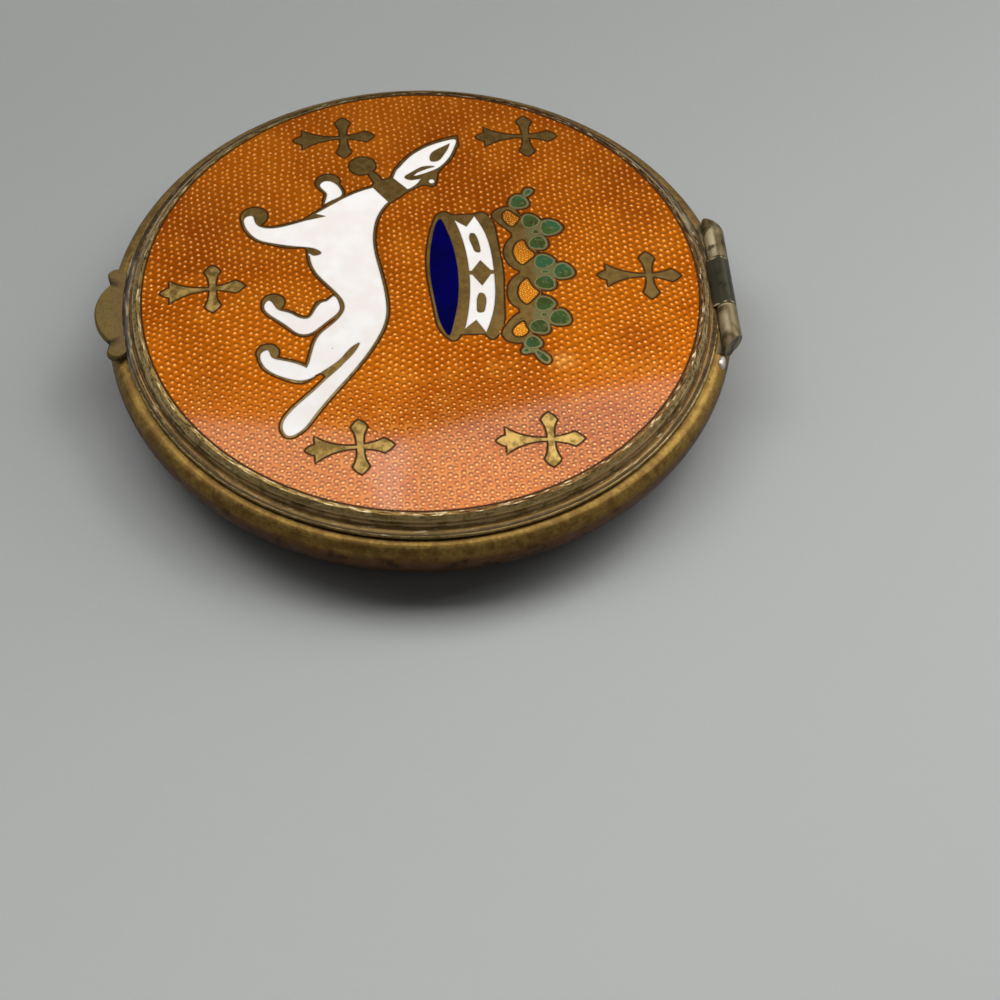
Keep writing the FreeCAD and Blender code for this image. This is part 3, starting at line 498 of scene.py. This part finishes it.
def thumbMarks(f, grain):  # greyer towards the joint with the lid
    return [(f.radius.fall(*thumbStains["joint"]), 0.25, "plum")]


mirror = dict(
    silver=tone(236, 239, 238), spot=tone(120, 112, 100), spots=(0.3, 0.12, 0.2), spotShare=0.6,
    smear=(0.12, 4.0), smearEdge=(0.45, 0.75), rough=0.015, smearRough=0.03)


def mirrorGlass(name):
    f = Finish(name)
    s = mirror
    smear = f.noise(*s["smear"]).rise(*s["smearEdge"])
    colour = f.mix(f.specks(*s["spots"]) * s["spotShare"], s["silver"], s["spot"])
    return f.shade(Base_Color=colour, Metallic=1.0, Roughness=s["rough"] + smear * s["smearRough"])


card = dict(
    dark=tone(150, 132, 104), pale=tone(176, 158, 128), mottle=(1.4, 4.0), mottleEdge=(0.3, 0.7), rough=0.9,
    grain=(3.0, 3.0), depth=0.03 * mm, relief=0.5)


def plainCard(name):
    f = Finish(name)
    s = card
    colour = f.mix(f.noise(*s["mottle"]).rise(*s["mottleEdge"]), s["dark"], s["pale"])
    grain = f.bump(f.noise(*s["grain"]), s["depth"], s["relief"])
    return f.shade(Base_Color=colour, Roughness=s["rough"], Normal=grain)


finishOf = {
    "orange_enamel": stippled("orangeEnamel", orangeEnamel),
    "amber_enamel": stippled("amberEnamel", amberEnamel),
    "white_enamel": glazed("whiteEnamel", whiteEnamel["warm"], whiteEnamel["clean"], whitePits),
    "blue_enamel": glazed("blueEnamel", blueEnamel["deep"], blueEnamel["glow"], blueSpecks),
    "green_enamel": glazed("greenEnamel", greenEnamel["deep"], greenEnamel["fresh"], greenEdges),
    "plaque_brass": agedMetal("plaqueBrass", plaqueBrass, plaqueMarks),
    "rim_brass": agedMetal("rimBrass", rimBrass, rimMarks),
    "base_brass": agedMetal("bowlBrass", bowlBrass, bowlMarks),
    "hinge_brass": agedMetal("hingeBrass", hingeBrass, hingeMarks),
    "thumb_brass": agedMetal("thumbBrass", thumbBrass, thumbMarks),
    "inner_brass": agedMetal("innerBrass", innerBrass),
    "pan_brass": agedMetal("panBrass", panBrass),
    "spring_steel": agedMetal("springSteel", springSteel),
    "mirror_glass": mirrorGlass("mirrorGlass"),
    "backing_card": plainCard("backingCard"),
}
solderFinish = agedMetal("solder", solder)
print("finishes made:", len(finishOf) + 1)


# Pieces: each is a copy of its node's form, or a thin band or lump on it
dome = dict(rise=1.1 * mm, lift=0.003 * mm, close=0.03 * mm, upright=0.9)
dome["radius"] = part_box("orange_field_enamel")[1].x
dome["top"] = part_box("enamel_plaque")[1].z
dome["sphere"] = (dome["radius"] ** 2 + dome["rise"] ** 2) / (2 * dome["rise"])
dome["centre"] = np.array([0.0, 0.0, dome["top"] - dome["sphere"]])
skin = dict(weld=0.0002 * mm, smoothAngle=32, fullTurn=0.9, ringStep=0.01 * mm, leastArea=1e-20)


def domeHeight(x, y):  # height of the domed face over a point of the lid
    return dome["centre"][2] + np.sqrt(dome["sphere"] ** 2 - x ** 2 - y ** 2)


def domeNormals(points):  # straight out from the dome's centre
    outward = points - dome["centre"]
    return outward / np.linalg.norm(outward, axis=1, keepdims=True)


def weldedMesh(node):  # a copy of a node with its loose triangles joined and their old normals dropped
    mesh = nodes[node].data.copy()
    if "custom_normal" in mesh.attributes:
        mesh.attributes.remove(mesh.attributes["custom_normal"])
    work = bmesh.new()
    work.from_mesh(mesh)
    bmesh.ops.remove_doubles(work, verts=work.verts, dist=skin["weld"])
    bmesh.ops.triangulate(work, faces=work.faces)
    work.to_mesh(mesh)
    work.free()
    mesh.name = node + "_skin"
    return mesh


def readMesh(mesh):  # its points, the three corners of each triangle, and the triangles' normals
    points = np.empty(len(mesh.vertices) * 3)
    mesh.vertices.foreach_get("co", points)
    corners = np.empty(len(mesh.loops), dtype=np.int64)
    mesh.loops.foreach_get("vertex_index", corners)
    points = points.reshape(-1, 3)
    corners = corners.reshape(-1, 3)
    first, second, third = (points[corners[:, k]] for k in range(3))
    sides = np.cross(second - first, third - first)
    sides /= np.maximum(np.linalg.norm(sides, axis=1, keepdims=True), skin["leastArea"])
    return points, corners, sides


def store(mesh, name, values):
    layer = mesh.attributes.new(name, "FLOAT", "POINT")
    layer.data.foreach_set("value", np.ascontiguousarray(values, dtype=np.float32))


def shadeSmooth(mesh):
    mesh.polygons.foreach_set("use_smooth", np.ones(len(mesh.polygons), dtype=bool))


def addPiece(name, mesh, finish, body, slot, *replaced):
    mesh.materials.clear()
    mesh.materials.append(finish)
    piece = bpy.data.objects.new(name, mesh)
    bpy.context.scene.collection.objects.link(piece)
    if replaced:
        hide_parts(*replaced)
    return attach(piece, body)


def edgeWear(points, corners, sides):
    # each edge between two triangles bends out (worn) or in (grime) by an angle: a point takes its
    # largest of both, as a share of a full turn
    ends = np.stack([corners, np.roll(corners, -1, axis=1)], axis=2).reshape(-1, 2)
    far = np.roll(corners, 1, axis=1).reshape(-1)
    face = np.repeat(np.arange(len(corners)), 3)
    key = np.sort(ends, axis=1) @ np.array([len(points), 1])
    order = np.argsort(key, kind="stable")
    pair = np.nonzero(key[order][1:] == key[order][:-1])[0]
    one = order[pair]
    two = order[pair + 1]
    turn = np.arccos(np.clip((sides[face[one]] * sides[face[two]]).sum(1), -1, 1))
    hollow = (sides[face[one]] * (points[far[two]] - points[ends[one, 0]])).sum(1) > 0
    worn = np.zeros(len(points))
    grime = np.zeros(len(points))
    for end in (0, 1):
        np.maximum.at(worn, ends[one, end], np.where(hollow, 0, turn))
        np.maximum.at(grime, ends[one, end], np.where(hollow, turn, 0))
    return np.clip(worn / skin["fullTurn"], 0, 1), np.clip(grime / skin["fullTurn"], 0, 1)


def evenRings(points, values):  # the middle value of all points at one radius and height of a turned piece
    place = np.stack([np.hypot(points[:, 0], points[:, 1]), points[:, 2]], axis=1)
    ring = np.unique(np.round(place / skin["ringStep"]), axis=0, return_inverse=True)[1].reshape(-1)
    return np.array([np.median(values[ring == number]) for number in range(ring.max() + 1)])[ring]


def smoothSkin(node):
    # a turned or flat metal piece: the node's own form, shaded smooth up to an angle, with its wear
    # stored on it, and evened out on the ring, whose narrow rounded edge has long thin triangles
    mesh = weldedMesh(node)
    points, corners, sides = readMesh(mesh)
    worn, grime = edgeWear(points, corners, sides)
    if node == "lid_ring":
        worn = evenRings(points, worn)
        grime = evenRings(points, grime)
    store(mesh, "worn", worn)
    store(mesh, "grime", grime)
    shadeSmooth(mesh)
    mesh.set_sharp_from_angle(angle=math.radians(skin["smoothAngle"]))
    return addPiece(node + "_skin", mesh, finishOf[slotOf[node]], bodyOf[node], slotOf[node], node)


def onDome(points, corners, sides):  # which triangles lie on the domed face
    reach = np.linalg.norm(points - dome["centre"], axis=1)
    close = np.abs(reach - dome["sphere"]) < dome["close"]
    return close[corners].all(axis=1) & (sides[:, 2] > dome["upright"])


def domeSkin(node):
    # a flush piece of the lid: the node's own form, its top shaded as one smooth dome
    mesh = weldedMesh(node)
    points, corners, sides = readMesh(mesh)
    top = np.repeat(onDome(points, corners, sides), 3)
    outward = domeNormals(points[corners.reshape(-1)])
    shadeSmooth(mesh)
    mesh.normals_split_custom_set(np.where(top[:, None], outward, np.repeat(sides, 3, axis=0)))
    return addPiece(node + "_skin", mesh, finishOf[slotOf[node]], bodyOf[node], slotOf[node], node)


band = dict(steps=5, leastLength=1e-12, mitre=0.45)


def edgeBand(name, node, width, onto, layer):
    # a thin band along the rims of a node's cells: each rim point is carried by a width, inwards or, where
    # it is less than nothing, outwards over the brass, square to the rim and up on the dome, and stores how
    # near it lies
    steps = band["steps"]
    points, corners, sides = readMesh(weldedMesh(node))
    tops = corners[onDome(points, corners, sides)]
    ends = np.stack([tops, np.roll(tops, -1, axis=1)], axis=2).reshape(-1, 2)
    forward = ends @ np.array([len(points), 1])
    backward = ends @ np.array([1, len(points)])
    rim = ends[~np.isin(forward, backward)]
    along = points[rim[:, 1], :2] - points[rim[:, 0], :2]
    along /= np.maximum(np.linalg.norm(along, axis=1, keepdims=True), band["leastLength"])
    inwards = np.stack([-along[:, 1], along[:, 0]], axis=1)
    used, place = np.unique(rim, return_inverse=True)
    place = place.reshape(-1, 2)
    side = np.zeros((len(used), 2))
    np.add.at(side, place[:, 0], inwards / 2)
    np.add.at(side, place[:, 1], inwards / 2)
    side /= np.maximum((side ** 2).sum(1, keepdims=True), band["mitre"])
    share = np.linspace(0, 1, steps)
    flat = points[used, None, :2] + side[:, None, :] * (width * share)[None, :, None]
    height = domeHeight(flat[..., 0], flat[..., 1]) + dome["lift"]
    grid = np.concatenate([flat, height[..., None]], axis=2).reshape(-1, 3)
    first = place[:, :1] * steps + np.arange(steps - 1)
    second = place[:, 1:] * steps + np.arange(steps - 1)
    quads = np.stack([first, second, second + 1, first + 1], axis=2).reshape(-1, 4)
    mesh = bpy.data.meshes.new(name)
    mesh.from_pydata(grid, [], quads if width > 0 else quads[:, ::-1])
    store(mesh, layer, np.tile(1 - share, len(used)))
    shadeSmooth(mesh)
    mesh.normals_split_custom_set_from_vertices(domeNormals(grid))
    return addPiece(name, mesh, finishOf[slotOf[onto]], bodyOf[onto], slotOf[onto])


for node in ("enamel_plaque", "orange_field_enamel", "white_beast_enamel", "white_crown_band_enamel",
             "blue_cap_enamel", "amber_arch_enamel", "green_leaf_enamel"):
    domeSkin(node)
# the inward bands carry painted shade along the rims of the orange, amber and white cells and a pale edge on
# the green; the outward ones dark seams on the brass
bands = [
    ("fieldOutline", "orange_field_enamel", 0.2, "orange_field_enamel", "shade"),
    ("beastOutline", "white_beast_enamel", 0.2, "white_beast_enamel", "shade"),
    ("bandOutline", "white_crown_band_enamel", 0.18, "white_crown_band_enamel", "shade"),
    ("leafOutline", "green_leaf_enamel", 0.15, "green_leaf_enamel", "shade"),
    ("archOutline", "amber_arch_enamel", 0.2, "amber_arch_enamel", "shade"),
    ("figureOutline", "orange_field_enamel", -0.11, "enamel_plaque", "line"),
    ("beastSeam", "white_beast_enamel", -0.07, "enamel_plaque", "line"),
    ("capSeam", "blue_cap_enamel", -0.07, "enamel_plaque", "line"),
    ("archSeam", "amber_arch_enamel", -0.1, "enamel_plaque", "line"),
    ("bandSeam", "white_crown_band_enamel", -0.07, "enamel_plaque", "line"),
]
for name, node, width, onto, layer in bands:
    edgeBand(name, node, width * mm, onto, layer)
print("lid face made")

for node in ("lid_ring", "mirror_backing_card", "lid_mirror", "mirror_retaining_ring", "thumb_piece",
             "catch_bead", "lid_hinge_knuckle", "base_bowl", "base_collar", "base_hinge_knuckle_right",
             "base_hinge_knuckle_left", "hinge_pin", "catch_spring", "powder_pan", "pan_clip_ring"):
    smoothSkin(node)

# A lump of old solder where the barrel ends on the shoulder: half an ellipsoid square to the shoulder, its
# reach made uneven by slow waves round it (height, count, phase), closed by a point below the surface
lump = dict(at=(8.35, 25.15, 6.46), out=(0.228, 0.633, 0.740), half=(0.62, 0.4, 0.22), rings=8, steps=28,
            waves=[(0.12, 2, 0.6), (0.08, 3, 2.0)])
steps = lump["steps"]
last = (lump["rings"] - 1) * steps
peak = lump["rings"] * steps
angle = np.linspace(0, 2 * np.pi, steps, endpoint=False)
level = np.linspace(0, np.pi / 2, lump["rings"] + 1)[:-1, None]
reach = 1 + sum(height * np.sin(count * angle + phase) for height, count, phase in lump["waves"])
spread = np.cos(level) * reach
local = np.stack([spread * np.cos(angle), spread * np.sin(angle), np.sin(level) + 0 * angle], axis=2)
local = np.vstack([local.reshape(-1, 3), [[0, 0, 1], [0, 0, -1]]]) * lump["half"]
up = Vector(lump["out"]).normalized()
sideways = Vector((0, 0, 1)).cross(up).normalized()
points = (np.array(lump["at"]) + local @ np.array([sideways, up.cross(sideways), up])) * mm
sides = [(i, (i + 1) % steps) for i in range(steps)]
quads = [(row + i, row + j, row + steps + j, row + steps + i)
         for row in range(0, last, steps) for i, j in sides]
fans = [(last + i, last + j, peak) for i, j in sides]
fans += [(j, i, peak + 1) for i, j in sides]
lumpMesh = bpy.data.meshes.new("solderLump")
lumpMesh.from_pydata(points, [], quads + fans)
shadeSmooth(lumpMesh)
addPiece("solderLump", lumpMesh, solderFinish, "base", "hinge_brass")
print("metal pieces made")


# Stage: a table with painted light, paler towards one corner, a pale room round it, five soft panels and the
# camera
table = dict(
    half=1.5, dim=tone(149, 151, 149), pale=tone(186, 188, 186), lightSlope=(0.0033, 0.0015), reach=(-0.22, 0.28),
    far=(100.0, 800.0), grain=(2.2, 4.0), grainShare=0.03, rough=0.8, tooth=(5.0, 2.0), toothDepth=0.01 * mm,
    toothShare=0.15)
room = dict(dim=(0.04, 0.04, 0.042), pale=tone(168, 170, 168), lift=(0.05, 0.55))
flat = Finish("table")
# painted light: the table's tone grows paler towards one corner, as if more light fell there
lightSlope = flat.x * table["lightSlope"][0] + flat.y * table["lightSlope"][1]
lightSlope = lightSlope + flat.noise(*table["grain"]) * table["grainShare"]
ground = flat.mix(lightSlope.rise(*table["reach"]), table["dim"], table["pale"])  # paler towards one corner
glow = flat.mix(flat.radius.rise(*table["far"]) * flat.seen(), (0.0, 0.0, 0.0), room["pale"])
tooth = flat.bump(flat.noise(*table["tooth"]), table["toothDepth"], table["toothShare"])
flat.shade(Base_Color=ground, Roughness=table["rough"], Emission_Color=glow, Emission_Strength=1.0,
           Normal=tooth)
tableMesh = bpy.data.meshes.new("table")
square = [(-1, -1), (1, -1), (1, 1), (-1, 1)]
tableMesh.from_pydata([(x * table["half"], y * table["half"], 0) for x, y in square], [], [(0, 1, 2, 3)])
tableMesh.materials.append(flat.material)
tableTop = bpy.data.objects.new("table", tableMesh)
bpy.context.scene.collection.objects.link(tableTop)

panelDistance = 0.6
panels = [
    dict(name="backLeft", turn=229.9, lift=62.5, roll=-56.1, size=(0.42, 0.33), glow=3.3),
    dict(name="backRight", turn=132.3, lift=63.0, roll=57.0, size=(0.42, 0.33), glow=3.3),
    dict(name="leftPanel", turn=245, lift=40, roll=0, size=(0.45, 0.45), glow=0.6),
    dict(name="rightPanel", turn=115, lift=40, roll=0, size=(0.45, 0.45), glow=2.3),
    dict(name="frontPanel", turn=25, lift=45, roll=0, size=(0.45, 0.45), glow=0.15),
]
for panel in panels:
    lamp = bpy.data.lights.new(panel["name"], "AREA")
    lamp.shape = "RECTANGLE"
    lamp.size, lamp.size_y = panel["size"]
    lamp.energy = panel["glow"] * math.pi * lamp.size * lamp.size_y  # watts for an even glow over the panel
    turn = math.radians(panel["turn"])
    lift = math.radians(panel["lift"])
    out = Vector((math.cos(lift) * math.cos(turn), math.cos(lift) * math.sin(turn), math.sin(lift)))
    light = bpy.data.objects.new(panel["name"], lamp)
    light.location = panelDistance * out
    facing = (-light.location).to_track_quat("-Z", "Y").to_matrix()
    light.rotation_euler = (facing @ Matrix.Rotation(math.radians(panel["roll"]), 3, "Z")).to_euler()
    bpy.context.scene.collection.objects.link(light)

bpy.context.scene.world = bpy.data.worlds.new("room")
sky = Finish("room", bpy.context.scene.world)
height = sky.parts(sky.add("ShaderNodeTexCoord", out="Generated"))[2]
pale = height.fall(*room["lift"]) * sky.seen()  # pale walls, dim towards the top
walls = sky.mix(pale, room["dim"], room["pale"])
sky.add("ShaderNodeOutputWorld", None, {"Surface": sky.add("ShaderNodeBackground", None, {"Color": walls})})

camera = dict(
    eye=(150.46 * mm, -7.89 * mm, 174.6 * mm), towards=(-0.6066, 0.0612, -0.7926), roll=-1.5, lens=93.6,
    sensor=36, nearest=0.01)
sight = Vector(camera["towards"]).normalized()
right = sight.cross(Vector((0, 0, 1))).normalized()
down = sight.cross(right)
cosine = math.cos(math.radians(camera["roll"]))
sine = math.sin(math.radians(camera["roll"]))
frameRight = cosine * right + sine * down
frameDown = cosine * down - sine * right
axes = Matrix((frameRight, -frameDown, -sight)).transposed().to_4x4()
lens = bpy.data.cameras.new("photoCamera")
lens.lens = camera["lens"]
lens.sensor_width = camera["sensor"]
lens.clip_start = camera["nearest"]
photoCamera = bpy.data.objects.new("photoCamera", lens)
photoCamera.matrix_world = Matrix.Translation(camera["eye"]) @ axes
bpy.context.scene.collection.objects.link(photoCamera)
bpy.context.scene.camera = photoCamera
bpy.context.scene.view_settings.view_transform = "Standard"
print("stage set")
